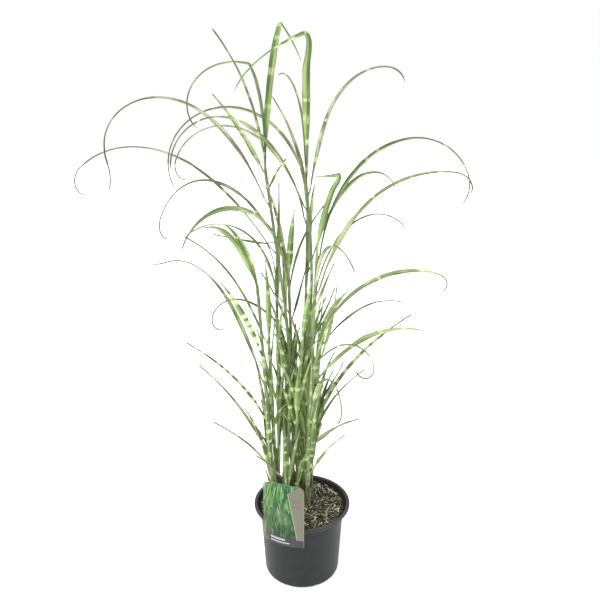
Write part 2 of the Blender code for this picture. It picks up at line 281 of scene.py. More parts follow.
potLook = {
    "spokes": 144,
    "wall": 0.0018,
    "rimRadius": 0.095,
    "rimWidth": 0.0060,
    "rimDrop": 0.0036,
    "wallTopRadius": 0.0820,  # outside of the wall where the flare starts
    "wallTop": 0.132,
    "flareStep": 0.0010,
    "baseRadius": 0.0745,
    "baseRound": 0.005,
    "recess": (0.050, 0.0525, 0.0016),  # the raised middle of the base: its radius, its edge's, and its height
    "drainHoles": 8,
    "drainHole": (0.012, 0.009, 0.008),
    "drainInset": 0.003,
    "sharp": 38,
    "lip": (0.1485, 0.1496),  # heights between which the rim's top begins, which is painted lighter as a highlight
    "compostLine": (0.137, 0.140),
    "splashHeights": (0.134, 0.142),
    "dustHeight": 0.018,
    "insideRadius": 0.0893,
    "plastic": (0.0112, 0.0138, 0.0146),
    "plasticPale": (0.0162, 0.0184, 0.0197),
    # pale grey of the scuffs, also used for the painted highlight along the rim's top
    "plasticScuffAndHighlight": (0.085, 0.087, 0.090),
    "plasticInside": (0.022, 0.018, 0.021),
    "dust": (0.16, 0.145, 0.12),
    "splash": (0.075, 0.062, 0.045),
}


def potFinish():
    look = potLook
    finish = Finish("moulded charcoal plastic", Specular_IOR_Level=0.20)
    place = finish.place()
    x, y, height = finish.split(place)
    broad = finish.noise(place, 9, 2)
    cloud = finish.noise(place, 55, 4)
    grain = finish.noise(place, 1400, 2, 0.7)
    drawn = finish.noise(finish.stretch(place, (60, 60, 900)), 1, 3)  # faint rings from the mould
    scuffs = finish.noise(finish.stretch(place, (240, 240, 28)), 1, 5, 0.7)
    worn = finish.ease(scuffs, 0.64, 0.78) * finish.ease(broad, 0.35, 0.65)
    radius = finish.add("ShaderNodeVectorMath", {"operation": "LENGTH"}, {0: finish.point(x, y)}, "Value")
    lip = finish.ease(height, *look["lip"])
    inside = (1 - lip) * (radius < look["insideRadius"]) * finish.ease(height, *look["compostLine"])
    colour = finish.mix(finish.ease(cloud, 0.3, 0.75), look["plastic"], look["plasticPale"])
    colour = finish.mix(inside * 0.8, colour, look["plasticInside"])
    # painted highlight: the rim's top is lightened towards the pale scuffed grey
    colour = finish.mix(lip * (0.35 + 0.5 * cloud), colour, look["plasticScuffAndHighlight"])
    colour = finish.mix(worn * 0.55, colour, look["plasticScuffAndHighlight"])
    dusty = (1 - finish.ease(height, 0.0, look["dustHeight"])) * finish.ease(cloud, 0.42, 0.62)
    specks = finish.ease(finish.noise(place, 620, 2), 0.70, 0.76)
    colour = finish.mix(dusty * 0.08 + specks * 0.10, colour, look["dust"])
    drops = finish.ease(finish.noise(place, 130, 5), 0.52, 0.66)
    splash = finish.ease(height, *look["splashHeights"]) * drops
    colour = finish.mix(splash * 0.22, colour, look["splash"])
    rough = 0.36 + 0.16 * cloud + 0.10 * worn + 0.12 * dusty
    relief = grain * 0.5 + drawn * 0.35 + worn * 0.2
    return finish.wear(colour, rough, relief, 0.22, 0.0003)


def roundCorners(corners, steps=4):
    # replaces each (radius, height, rounding) corner by a short arc-like curve
    outline = []
    for index, (radius, height, rounding) in enumerate(corners):
        here = Vector((radius, height))
        if not rounding:
            outline.append(here)
            continue
        before = Vector(corners[index - 1][:2])
        after = Vector(corners[(index + 1) % len(corners)][:2])
        enter = here + (before - here).normalized() * rounding
        leave = here + (after - here).normalized() * rounding
        for step in range(steps + 1):
            t = step / steps
            outline.append(enter * (1 - t) ** 2 + here * (2 * t * (1 - t)) + leave * t ** 2)
    return outline


def buildPot():
    look = potLook
    wall, rim = look["wall"], look["rimRadius"]
    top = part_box("pot")[1].z
    wallTop, shoulder, step = look["wallTop"], look["wallTopRadius"], look["flareStep"]
    base, baseRound = look["baseRadius"], look["baseRound"]
    recess, recessEdge, recessHeight = look["recess"]
    neck = rim - look["rimWidth"]
    flange = top - wall
    lipEnd = top - look["rimDrop"]
    corners = [
        (0, recessHeight, 0), (recess, recessHeight, 0.0008), (recessEdge, 0, 0.0008),
        (base - baseRound, 0, 0.001), (base - 0.0014, baseRound * 0.35, 0.0016), (base, baseRound, 0.002),
        (shoulder, wallTop, 0.0006), (shoulder + step, wallTop + step, 0.0010),
        (neck + 0.0002, flange - 0.0012, 0.0014), (neck + wall, flange, 0.0008),
        (rim - wall, flange, 0.0008), (rim - wall, lipEnd, 0.0004), (rim, lipEnd, 0.0007),
        (rim, top, 0.0014), (neck, top, 0.0014),
        (shoulder + step - wall, wallTop + wall, 0.0012), (shoulder - wall, wallTop, 0.0008),
        (base - wall, baseRound, 0.002), (base - baseRound, wall, 0.001), (0, wall + recessHeight, 0),
    ]
    outline = roundCorners(corners)
    shape = newShape()
    rings = [turnedRing(shape, spot.x, spot.y, look["spokes"]) for spot in outline[1:-1]]
    skinTurned(shape, rings, outline[0].y, outline[-1].y)
    pot = makePiece("nursery_pot", shape, potFinish(), ["pot"], look["sharp"])

    cutters = newShape()
    for hole in range(look["drainHoles"]):
        turn = 360 * (hole + 0.5) / look["drainHoles"]
        place = Matrix.Translation(heading(turn) * (base - look["drainInset"]))
        place @= Matrix.Rotation(math.radians(turn), 4, "Z")
        place @= Matrix.Diagonal((*look["drainHole"], 1))
        bmesh.ops.create_cube(cutters, size=1, matrix=place)
    bmesh.ops.recalc_face_normals(cutters, faces=cutters.faces)
    mesh = bpy.data.meshes.new("drain hole cutter")
    cutters.to_mesh(mesh)
    cutters.free()
    cutter = bpy.data.objects.new("drain hole cutter", mesh)
    bpy.context.scene.collection.objects.link(cutter)
    cut = pot.modifiers.new("drain holes", "BOOLEAN")
    cut.operation = "DIFFERENCE"
    cut.solver = "MANIFOLD"
    cut.object = cutter
    bpy.context.view_layer.update()
    graph = bpy.context.evaluated_depsgraph_get()
    finished = bpy.data.meshes.new_from_object(pot.evaluated_get(graph))
    pot.modifiers.remove(cut)
    pot.data = finished
    finished.set_sharp_from_angle(angle=math.radians(look["sharp"]))
    bpy.data.objects.remove(cutter, do_unlink=True)


buildPot()
print("pot turned, with", potLook["drainHoles"], "drain holes")


# culms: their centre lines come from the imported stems

culmLook = {
    "sides": 14,
    "spacing": 0.006,  # between two cross-sections
    "jointGap": 0.085,  # between two joints of a stem, on average
    "jointSpread": (0.75, 1.3),
    "firstJoint": (0.03, 0.06),
    "topClear": 0.03,  # of joints
    "jointSections": (-0.003, -0.0012, 0, 0.0009, 0.0024),  # further cross-sections round a joint
    "jointReach": 0.0028,
    "soiled": (0.142, 0.195),  # heights between which the compost's brown fades out
    "green": (0.110, 0.165, 0.085),
    "freshGreen": (0.17, 0.26, 0.075),
    "straw": (0.36, 0.38, 0.20),
    "brown": (0.120, 0.095, 0.045),
}
culmLetters = "abcdefghijk"


def readCulm(letter):
    # the centre line, with the radius as a fourth number
    mesh = nodes["culm_" + letter].data
    spots = sorted({tuple(round(number, 6) for number in vertex.co) for vertex in mesh.vertices})
    levels = {}
    for x, y, z in spots:
        levels.setdefault(round(z, 4), []).append(Vector((x, y, z)))
    line = []
    for _, ring in sorted(levels.items()):
        centre = sum(ring, upward(0)) / len(ring)
        radius = sum((spot - centre).length for spot in ring) / len(ring)
        line.append(Vector((*centre, radius)))
    return smoothRun(line, culmLook["spacing"])


culmLines = {letter: readCulm(letter) for letter in culmLetters}


def culmAt(letter, height):
    # centre, radius and direction of a stem at a height
    line = culmLines[letter]
    for low, high in zip(line, line[1:]):
        if height <= high.z or high is line[-1]:
            share = min(max((height - low.z) / (high.z - low.z), 0), 1)
            middle = between(low, high, share)
            return middle.xyz, middle.w, (high - low).xyz.normalized()


def culmFinish():
    look = culmLook
    finish = Finish("green cane", Specular_IOR_Level=0.4)
    across, height, joint = finish.attribute("run")
    seed, _, _ = finish.attribute("trait")
    streaks = finish.streaks(across * 34, height * 14, seed * 20)
    blotches = finish.streaks(across * 4, height * 60, seed * 31)
    colour = finish.mix(finish.ease(streaks, 0.3, 0.72), look["green"], look["freshGreen"])
    colour = finish.mix(finish.ease(blotches, 0.60, 0.72) * 0.7, colour, look["straw"])
    colour = finish.mix(finish.ease(joint, 0.2, 0.9), colour, look["brown"])
    foot = 1 - finish.ease(height, *look["soiled"])
    colour = finish.mix(foot * (0.45 + 0.4 * blotches), colour, look["brown"])
    return finish.wear(colour, 0.42 + 0.2 * streaks, streaks, 0.35, 0.0003)


def buildCulm(letter, material):
    look = culmLook
    rng = random.Random("culm " + letter)
    shape = newShape()
    line = culmLines[letter]
    joints = []
    joint = line[0].z + rng.uniform(*look["firstJoint"])
    while joint < line[-1].z - look["topClear"]:
        joints.append(joint)
        joint += look["jointGap"] * rng.uniform(*look["jointSpread"])
    seed = rng.random()
    heights = [spot.z for spot in line]
    heights += [joint + offset for joint in joints for offset in look["jointSections"]]
    rings = []
    for height in sorted(heights):
        centre, radius, _ = culmAt(letter, height)
        near = min((abs(height - joint) for joint in joints), default=1)
        swell = 1 - ease(near, 0, look["jointReach"])
        reach = radius * (0.96 + 0.12 * swell)
        rings.append([addVertex(shape, centre + heading(360 * side / look["sides"]) * reach,
                                (side / look["sides"], height, swell), (seed, 0, 0))
                      for side in range(look["sides"])])
    skinRings(shape, rings)
    makePiece("cane_" + letter, shape, material, ["culm_" + letter])


caneMaterial = culmFinish()
for letter in culmLetters:
    buildCulm(letter, caneMaterial)
print("stems grown:", len(culmLetters))


# leaves: each is one sheet, from the sheath round its stem to the tip of its blade

leafLook = {
    "acrossMarks": (-1, -0.78, -0.5, -0.15, 0, 0.15, 0.5, 0.78, 1),
    "thickness": 0.00032,
    "midrib": 0.00045,
    "thinChannel": 1.2,  # a thin leaf, and the thin end of any leaf, is folded deeper
    "channel": 0.36,  # how far an edge stands above the midrib, in half widths
    "spacing": 0.0055,  # between two cross-sections of a blade
    "sight": Vector((0, 0.95, -0.31)),  # from the front of the clump towards it; blades turn to face it
    "waver": 20,  # degrees that a blade turns to and fro along its length
    "facing": 0.70,  # how nearly a blade comes round to face the front
    "sheath": 0.110,
    "lowestSheath": 0.17,
    "sheathStep": 0.008,
    "sheathGap": (0.0010, 0.0003),  # outside of a sheath from its stem, at its top and its foot
    "sheathThickness": 0.00028,
    "wrap": (120, 170),  # degrees that a sheath reaches round each way, at its mouth and below it
    "mouth": 0.014,
    "openWrap": 50,  # degrees, where the blade leaves the stem
    "opening": 0.018,  # the length over which the wrapped sheath opens into the blade
    "soiled": (0.142, 0.275),
    "fullness": 1.22,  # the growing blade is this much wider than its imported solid
    "longLeaf": 0.33,  # a leaf longer than this tapers early, to this share of its width
    "slimTip": 0.55,
    "leastHalf": 0.00125,
    "sharp": 70,
    "green": (0.128, 0.278, 0.046),
    "deepGreen": (0.050, 0.098, 0.020),
    "lightGreen": (0.53, 0.68, 0.27),
    "cream": (0.80, 0.86, 0.55),
    "olive": (0.135, 0.130, 0.092),
    "pale": (0.70, 0.69, 0.50),
    "straw": (0.42, 0.36, 0.17),
    "tan": (0.085, 0.080, 0.052),
    "ribGreen": (0.32, 0.40, 0.19),
    "bandGreen": (0.50, 0.62, 0.20),
    "collar": (0.26, 0.30, 0.12),
    "sheathTones": ((0.085, 0.125, 0.055), (0.185, 0.240, 0.115), (0.29, 0.34, 0.17)),
    "sheathFoot": (0.125, 0.122, 0.058),
    "slimWidth": 0.0064,  # a leaf slimmer than this has the slim traits, unless it has its own
    "slimTraits": (0.20, 0.65),
    "broadTraits": (0.40, 0.35),
    "usualForm": (0.72, 1.12),
    # how strongly a leaf is banded, and how dry it is
    "traits": {
        "a1": (0.35, 0.25), "a2": (0.45, 0.15), "a3": (1.0, 0.35), "a4": (0.35, 0.55), "a5": (0.90, 0.50),
        "a6": (0.35, 0.60), "b1": (0.65, 0.05), "b2": (0.35, 0.40), "b3": (0.30, 0.75), "c1": (0.20, 0.65),
        "c2": (0.40, 0.15), "d1": (0.55, 0.10), "d2": (0.15, 0.75), "d3": (0.60, 0.70), "d4": (0.20, 0.75),
        "e1": (0.65, 0.05), "e2": (0.35, 0.40), "e4": (0.25, 0.65), "f1": (0.75, 0.0), "g1": (0.35, 0.0),
        "g2": (0.35, 0.45), "g3": (0.35, 0.75), "h1": (0.45, 0.05), "h2": (0.45, 0.58), "h3": (0.35, 0.50),
        "h5": (0.30, 0.45), "h6": (0.30, 0.80), "h7": (0.40, 0.15), "h8": (0.75, 0.80), "i1": (0.75, 0.15),
        "i3": (0.60, 0.20), "i4": (0.92, 0.60), "i5": (0.30, 0.80), "j1": (0.75, 0.10), "j2": (0.20, 0.85),
        "j3": (0.20, 0.75), "k2": (0.30, 0.60), "k3": (0.25, 0.65), "k4": (0.25, 0.45),
    },
    # the widths of its foot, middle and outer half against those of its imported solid
    "forms": {
        "a1": (0.72, 1.12, 1.5), "a2": (0.72, 1.12, 1.3), "a3": (0.72, 1.12, 1.7), "c1": (0.72, 1.05, 1.1),
        "d1": (0.45, 0.92, 1.9), "d2": (0.60, 0.90, 0.7), "d3": (0.60, 1.00, 1.5), "d4": (0.60, 0.90, 0.45),
        "e1": (0.72, 1.12, 1.4), "e2": (0.60, 1.00, 1.9), "f1": (0.72, 1.12, 1.3), "g1": (0.40, 1.05, 0.55),
        "g2": (0.60, 1.00, 0.65), "h1": (0.50, 1.00, 1.2), "h2": (0.65, 0.95, 0.6), "h3": (0.65, 1.30, 0.9),
        "h5": (0.65, 1.10, 1.5), "h7": (0.70, 1.00, 3.2), "h8": (0.72, 1.12, 0.7), "i1": (0.72, 1.12, 1.2),
        "i4": (0.72, 1.12, 1.1), "j1": (0.60, 1.12, 1.3), "j2": (0.65, 1.00, 0.9), "j3": (0.65, 0.95, 0.5),
        "k2": (0.65, 0.95, 0.5), "k3": (0.65, 0.95, 0.5), "k4": (0.45, 0.85, 2.5),
    },
}


def leafFinish():
    look = leafLook
    finish = Finish("zebra leaf", Specular_IOR_Level=0.28)
    across, along, share = finish.attribute("run")
    seed, banded, dryness = finish.attribute("trait")
    _, _, height = finish.split(finish.place())
    edge = abs(across * 2 - 1)

    # bands lie across the leaf at uneven gaps; some are missing, and each has a length of its own
    ragged = finish.streaks(across * 5, along * 260, seed * 50, 2)
    track = along * (17 + 32 * banded) + seed * 23 + ragged * 0.22
    cells = finish.add("ShaderNodeTexVoronoi", {"voronoi_dimensions": "1D"}, {
        "W": track, "Scale": 1, "Randomness": 0.95})
    keeping, length, strength = finish.split(cells.out("Color"))  # three chances of each band's own
    zebra = finish.ease(banded, 0.82, 0.98)  # the strongest banding: as much cream as green
    reach = 0.08 + 0.22 * length + 0.16 * zebra
    kept = finish.ease(banded * 1.15 - keeping, 0.0, 0.08)
    band = (1 - finish.ease(cells.out("Distance") / reach, 0.40, 1.20)) * kept
    side = finish.streaks(across * 4.0, along * 45, seed * 11, 1)
    partial = (0.15 + 0.85 * finish.ease(side, 0.38, 0.54)) * (0.45 + 0.55 * strength)
    band = band * (partial + (1 - partial) * zebra * 0.85)

    veins = finish.streaks(across * 46, along * 9, seed * 17, 2, 0.6)
    tone = finish.streaks(across * 0.8, along * 16, seed * 29)
    green = finish.mix(finish.ease(tone, 0.32, 0.62), look["deepGreen"], look["green"])
    green = finish.mix(finish.ease(veins, 0.35, 0.75) * 0.35, green, look["lightGreen"])
    green = finish.mix(dryness * 0.85 + 0.15 * seed, green, look["olive"])
    pale = finish.mix(dryness, look["lightGreen"], look["pale"])
    # a fresh leaf stays green, a drier one bleaches, and the driest stay dark
    bleached = 0.34 + 0.48 * finish.ease(dryness, 0.15, 0.45) - 0.50 * finish.ease(dryness, 0.72, 0.90)
    green = finish.mix(finish.ease(tone, 0.47, 0.66) * bleached, green, pale)
    green = finish.mix(zebra * 0.55, green, look["deepGreen"])
    shoulder = finish.ease(across, 0.46, 0.56)  # painted light and shade: one half of the blade is painted lighter, as if lit, and the other half darker, as if shaded
    green = finish.mix((1 - shoulder) * 0.30 * (1 - dryness), green, look["lightGreen"])
    green = finish.mix(shoulder * 0.42, green, look["deepGreen"])
    rib = 1 - finish.ease(edge, 0.05, 0.15)
    colour = finish.mix(rib * 0.45 * (1 - share), green, look["ribGreen"])
    # painted shade: the blade darkens towards both its edges
    colour = finish.mix(finish.ease(edge, 0.74, 1.0) * 0.60, colour, look["deepGreen"])
    colour = finish.mix(band, colour, finish.mix(veins, look["cream"], look["bandGreen"]))

    # dry brown tips, sooner and further down on a drier leaf
    tipStart = 0.94 - 0.26 * dryness
    tip = finish.ease(share + 0.05 * (ragged - 0.5), tipStart, tipStart + 0.12)
    colour = finish.mix(tip * 0.8, colour, look["tan"])
    flecks = finish.ease(finish.streaks(across * 9, along * 190, seed * 7), 0.66, 0.74)
    colour = finish.mix(flecks * (0.15 + 0.5 * dryness), colour, look["straw"])

    # the sheath is paler and ribbed, and browner towards the compost
    sheath = 1 - finish.ease(along, -0.006, 0.004)
    dark, light, ribs = look["sheathTones"]
    sheathColour = finish.mix(finish.ease(tone, 0.3, 0.7), dark, light)
    sheathColour = finish.mix(finish.ease(veins, 0.4, 0.7) * 0.5, sheathColour, ribs)
    sheathColour = finish.mix(band * 0.4, sheathColour, look["cream"])
    colour = finish.mix(sheath * 0.75, colour, sheathColour)
    collar = (1 - finish.ease(abs(along), 0.001, 0.004)) * 0.4
    colour = finish.mix(collar, colour, look["collar"])
    soiled = (1 - finish.ease(height, *look["soiled"])) * sheath
    colour = finish.mix(soiled * (0.30 + 0.45 * tone), colour, look["sheathFoot"])
    rough = 0.40 + 0.18 * veins + 0.15 * dryness
    return finish.wear(colour, rough, veins + rib * 0.5, 0.4, 0.00022)


def ringsFrom(tip):
    # the rings of vertices one step, two steps and so on away from a vertex
    seen = {tip}
    ring = [tip]
    rings = []
    while ring:
        rings.append(ring)
        found = {edge.other_vert(vertex) for vertex in ring for edge in vertex.link_edges} - seen
        seen |= found
        ring = sorted(found, key=lambda vertex: vertex.index)
    return rings


def readBlade(name):
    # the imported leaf's midrib with its half widths, from foot to tip, and its level direction across
    shape = bmesh.new()
    shape.from_mesh(nodes["leaf_" + name].data)
    bmesh.ops.remove_doubles(shape, verts=shape.verts[:], dist=0.00001)
    shape.verts.index_update()
    for tip in shape.verts:
        rings = ringsFrom(tip)
        if all(len(ring) == 4 for ring in rings[1:]):
            break
    rings = [[vertex.co.copy() for vertex in ring] for ring in reversed(rings)]
    shape.free()

    def span(ring):
        return max(((second - first) for first in ring for second in ring), key=lambda gap: gap.length)

    side = max((span(ring) for ring in rings[:-1]), key=lambda gap: gap.length).normalized()
    midrib = []
    rise = 0.0
    for ring in rings[:-1]:
        ring.sort(key=lambda spot: spot.dot(side))
        middle = (ring[1] + ring[2]) / 2
        half = (ring[3] - ring[0]).dot(side) / 2
        if midrib:
            lift = (ring[0] + ring[3]) / 2 - middle
            rise += lift.dot((middle - midrib[-1].xyz).cross(side))
        midrib.append(Vector((*middle, half)))
    midrib.append(Vector((*rings[-1][0], 0)))
    return midrib, side if rise > 0 else -side


def archingMidrib(letter, height, azimuth, length, width, lean, arch, bend):
    # a leaf that isn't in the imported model: its slope from upright grows along its length
    centre, radius, _ = culmAt(letter, height)
    out = heading(azimuth)
    spot = centre + out * (radius + 0.001 + width * 0.1)
    steps = 30
    midrib = []
    for step in range(steps + 1):
        along = step / steps
        half = width / 2 * min(1, 0.5 + 1.6 * along) * (1 - along ** 1.8) ** 1.1
        midrib.append(Vector((*spot, half)))
        slope = math.radians(lean + arch * (along + 0.5 / steps) ** bend)
        spot = spot + (out * math.sin(slope) + upward(math.cos(slope))) * (length / steps)
    return midrib, heading(azimuth + 90)


def growLeaf(shape, name, midrib, side, traits, sheathLength, rng):
    look = leafLook
    letter = name[0]
    trait = (rng.random(), *traits)
    run = smoothRun(midrib, look["spacing"])
    lengths = [0.0]  # along the midrib to each cross-section
    for start, end in zip(run, run[1:]):
        lengths.append(lengths[-1] + (end.xyz - start.xyz).length)
    total = lengths[-1]
    slim = look["slimTip"] if total > look["longLeaf"] else 1
    footWidth, fullWidth, endWidth = look["forms"].get(name, (*look["usualForm"], slim))
    marks = look["acrossMarks"]
    rings = []

    def layRing(upper, lower, along, share):
        # once round the sheet: over the upper side, and back under it
        spots = list(zip(marks, upper)) + list(zip(marks, lower))[-2:0:-1]
        rings.append([addVertex(shape, spot, (mark / 2 + 0.5, along, share), trait) for mark, spot in spots])

    out = side.cross(upward(1))  # away from the stem
    collar = min(run[0].z, culmLines[letter][-1].z)

    def wrapped(height, spread, lift=0.0):
        # upper and lower points of the sheet where it wraps the stem
        centre, radius, axis = culmAt(letter, height)
        outward = (out - axis * out.dot(axis)).normalized()
        sideways = axis.cross(outward)
        depth = (collar - height) / max(sheathLength, 0.001)
        outer = radius + between(*look["sheathGap"], min(max(depth, 0), 1))
        upper, lower = [], []
        for mark in marks:
            turn = math.radians(spread) * mark
            ray = outward * math.cos(turn) + sideways * math.sin(turn)
            upper.append(centre + axis * lift + ray * (outer - look["sheathThickness"]))
            lower.append(centre + axis * lift + ray * outer)
        return upper, lower

    steps = max(2, round(sheathLength / look["sheathStep"]))
    for step in range(steps):
        below = sheathLength * (1 - step / steps)
        spread = between(*look["wrap"], ease(below, 0.0, look["mouth"]))
        upper, lower = wrapped(collar - below, spread)
        layRing(upper, lower, -below, 0)

    turning = look["facing"] * rng.uniform(0.85, 1.15)
    phase = rng.uniform(0, 6.3)
    sway = rng.uniform(-0.012, 0.012) * total
    facing = 0
    for index, (spot, along) in enumerate(zip(run[:-1], lengths)):
        share = along / total
        forward = (run[index + 1].xyz - run[max(index - 1, 0)].xyz).normalized()
        level = forward.cross(side)
        faced = math.atan2(-side.dot(look["sight"]), level.dot(look["sight"]))
        facing = faced + math.pi * round((facing - faced) / math.pi)
        turn = facing * turning * ease(share, 0.0, 0.30)
        turn += math.radians(look["waver"]) * math.sin(phase + along * 20) * ease(share, 0.05, 0.4)
        across = side * math.cos(turn) + level * math.sin(turn)
        over = level * math.cos(turn) - side * math.sin(turn)
        centre = spot.xyz + side * (sway * math.sin(share * 4.2) * share)
        half = spot.w * look["fullness"] * (1 + 0.03 * math.sin(along * 150 + phase))
        half *= between(footWidth, fullWidth, ease(share, 0.04, 0.36))
        half *= between(1, endWidth, ease(share, 0.38, 0.72))
        half = max(half, look["leastHalf"] * (1 - ease(share, 0.95, 1.0)))
        channel = between(look["thinChannel"], look["channel"], ease(half, 0.0015, 0.0045))
        upper, lower = [], []
        for mark in marks:
            ripple = 0.05 * half * mark * abs(mark) * math.sin(along * 95 + phase + mark)
            rise = channel * half * abs(mark) ** 1.25 + ripple
            top = centre + across * (half * mark) + over * rise
            thick = look["thickness"] * (1 - 0.6 * abs(mark))
            if abs(mark) < 0.2:
                thick += look["midrib"] * (1 - share) * min(half / 0.004, 1) * (1 - abs(mark) * 3)
            upper.append(top)
            lower.append(top - over * thick)
        opened = ease(along, 0.0, look["opening"])
        if opened < 1:
            roll = between(look["wrap"][0], look["openWrap"], opened)
            wrapUpper, wrapLower = wrapped(collar, roll, along * 0.8)
            upper = [between(first, second, opened) for first, second in zip(wrapUpper, upper)]
            lower = [between(first, second, opened) for first, second in zip(wrapLower, lower)]
        layRing(upper, lower, along, share)
    tip = run[-1].xyz + side * (sway * math.sin(4.2))
    rings.append([addVertex(shape, tip, (0.5, total, 1), trait)])
    skinRings(shape, rings)


leafMaterial = leafFinish()
blades = {name[5:]: readBlade(name[5:]) for name in sorted(nodes) if name.startswith("leaf_")}
collars = {letter: sorted(min(midrib[0].z, culmLines[letter][-1].z)
                          for name, (midrib, _) in blades.items() if name[0] == letter)
           for letter in culmLetters}


def sheathFor(letter, height):
    # a sheath reaches down just inside the next one below, or to the compost
    height = min(height, culmLines[letter][-1].z)
    below = [other for other in collars[letter] if other < height - 0.002]
    reach = height - below[-1] + 0.006 if below else height - culmLines[letter][0].z - 0.012
    return min(reach, leafLook["sheath"] if below else leafLook["lowestSheath"])


for name, (midrib, side) in blades.items():
    slim = max(spot.w for spot in midrib) * 2 < leafLook["slimWidth"]
    traits = leafLook["traits"].get(name, leafLook["slimTraits"] if slim else leafLook["broadTraits"])
    shape = newShape()
    growLeaf(shape, name, midrib, side, traits, sheathFor(name[0], midrib[0].z),
             random.Random("leaf " + name))
    makePiece("grass_leaf_" + name, shape, leafMaterial, ["leaf_" + name], leafLook["sharp"])
print("main leaves grown:", len(blades))


# further leaves: some in places of their own, and short upright blades that fill the middle

smallLeafLook = {
    # height, heading, length, width, lean, arch, bend, and then how banded and how dry
    "placed": {
        "g": [(0.770, 110, 0.280, 0.0045, 1, 105, 1.7, 0.4, 0.4)],
        "f": [(0.480, 20, 0.135, 0.0060, 34, -14, 1.0, 0.5, 0.2),
              (0.175, -70, 0.150, 0.0060, 3, 120, 2.0, 0.6, 0.2)],
        "i": [(0.340, 10, 0.110, 0.0050, 37, -14, 1.0, 0.6, 0.5),
              (0.287, -25, 0.099, 0.0060, 0, 30, 1.5, 0.7, 0.4)],
        "h": [(0.270, -42, 0.165, 0.0095, 28, 32, 0.7, 0.3, 0.9),
              (0.210, -15, 0.125, 0.0085, 16, 30, 0.7, 0.9, 0.6),
              (0.561, -20, 0.097, 0.0050, 15, 9, 0.7, 0.4, 0.4),
              (0.272, -30, 0.070, 0.0045, 40, -28, 0.5, 0.8, 0.4)],
        "e": [(0.560, 110, 0.300, 0.0070, 8, 95, 1.5, 0.5, 0.1),
              (0.487, 215, 0.157, 0.0050, 4, 31, 0.5, 0.4, 0.4),
              (0.513, 20, 0.125, 0.0045, 10, 8, 0.5, 0.3, 0.6)],
        "b": [(0.276, 200, 0.045, 0.0040, 41, 18, 1.3, 0.3, 0.5),
              (0.175, 190, 0.051, 0.0050, 29, -22, 1.3, 0.3, 0.5),
              (0.335, 210, 0.033, 0.0050, 18, 13, 0.8, 0.5, 0.3),
              (0.310, -20, 0.068, 0.0070, 0, 53, 1.3, 0.9, 0.2)],
        "d": [(0.198, 215, 0.106, 0.0050, 22, 23, 0.5, 0.5, 0.5),
              (0.767, 30, 0.064, 0.0045, 6, 37, 0.5, 0.4, 0.2)],
        "c": [(0.538, 150, 0.135, 0.0045, 0, 39, 3.4, 0.4, 0.4)],
        "j": [(0.685, 215, 0.112, 0.0050, 40, 6, 3.9, 0.4, 0.3),
              (0.662, 195, 0.116, 0.0045, 82, -9, 0.8, 0.3, 0.5)],
    },
    "filling": {"a": 4, "b": 5, "c": 4, "d": 6, "e": 9, "f": 11, "g": 9, "h": 12, "i": 9, "k": 6, "j": 4},
    # a filling blade is drawn between these limits, which are in the same order
    "limits": ((0.17, 0.42), (0, 360), (0.10, 0.23), (0.0060, 0.0115), (2, 11), (4, 36), (0.9, 2.2),
               (0.50, 0.90), (0.0, 0.22)),
    "sheath": 0.035,
}


def fillingLeaves(letter):
    rng = random.Random("filling " + letter)
    return [tuple(rng.uniform(low, high) for low, high in smallLeafLook["limits"])
            for _ in range(smallLeafLook["filling"][letter])]


def growSmallLeaves(letter):
    grown = smallLeafLook["placed"].get(letter, []) + fillingLeaves(letter)
    shape = newShape()
    for number, (*course, banded, dryness) in enumerate(grown):
        midrib, side = archingMidrib(letter, *course)
        growLeaf(shape, letter, midrib, side, (banded, dryness), smallLeafLook["sheath"],
                 random.Random(f"small leaf {letter} {number}"))
    makePiece("small_leaves_" + letter, shape, leafMaterial, sharp=leafLook["sharp"])
    return len(grown)


smallCounts = [growSmallLeaves(letter) for letter in culmLetters]
print("small leaves grown:", sum(smallCounts))


# compost: a lumpy mound, with shreds, bark, crumbs and grit lying on it

compostLook = {
    "rings": 64,
    "spokes": 200,
    "edge": 0.1412,  # height of the mound at the wall
    "sides": ((0.1338, 0.0806), (0.132, 0.0796), (0.007, 0.0722)),  # heights and radii below its edge
    "lumps": ((70, 0.0016), (190, 0.0011), (520, 0.0006)),  # how many to a metre, and how deep
    "tuck": 0.003,  # the mound's foot is this much narrower
    "shreds": 1500,
    "shredLength": (0.0030, 0.016, 0.0055),  # least, greatest and commonest
    "shredWidth": (0.0007, 0.0028, 0.0011),
    "barkPieces": 200,
    "barkSize": (0.0012, 0.0042, 0.0018),
    "crumbs": 900,
    "crumbSize": (0.0004, 0.0013),
    "grit": 26,
    "gritSize": (0.0005, 0.0012),
    "stemClear": 0.0015,
    "seed": 11,
    # stops of the two ramps: of the compost itself, and of the wood and fibre lying on it
    "clods": [(0.30, (0.006, 0.005, 0.004)), (0.52, (0.022, 0.015, 0.009)), (0.70, (0.050, 0.038, 0.022)),
              (0.86, (0.12, 0.10, 0.060))],
    "wood": [(0.0, (0.010, 0.010, 0.006)), (0.25, (0.048, 0.044, 0.024)), (0.42, (0.120, 0.092, 0.052)),
             (0.56, (0.190, 0.190, 0.110)), (0.72, (0.40, 0.40, 0.26)), (0.88, (0.62, 0.61, 0.45)),
             (1.0, (0.78, 0.77, 0.64))],
    "fleck": (0.20, 0.17, 0.11),
    "darkGrain": (0.05, 0.040, 0.022),
    "paleGrain": (0.28, 0.25, 0.17),
    "gritTones": ((0.62, 0.60, 0.55), (0.80, 0.79, 0.76)),
}
compostLow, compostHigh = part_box("compost")


def moundHeight(x, y):
    radius = math.hypot(x, y) / compostHigh.x
    edge = compostLook["edge"]
    height = edge + (compostHigh.z - edge) * (1 - radius ** 2)
    for size, depth in compostLook["lumps"]:
        height += depth * noise.noise(Vector((x * size, y * size, 3.1)))
    return height


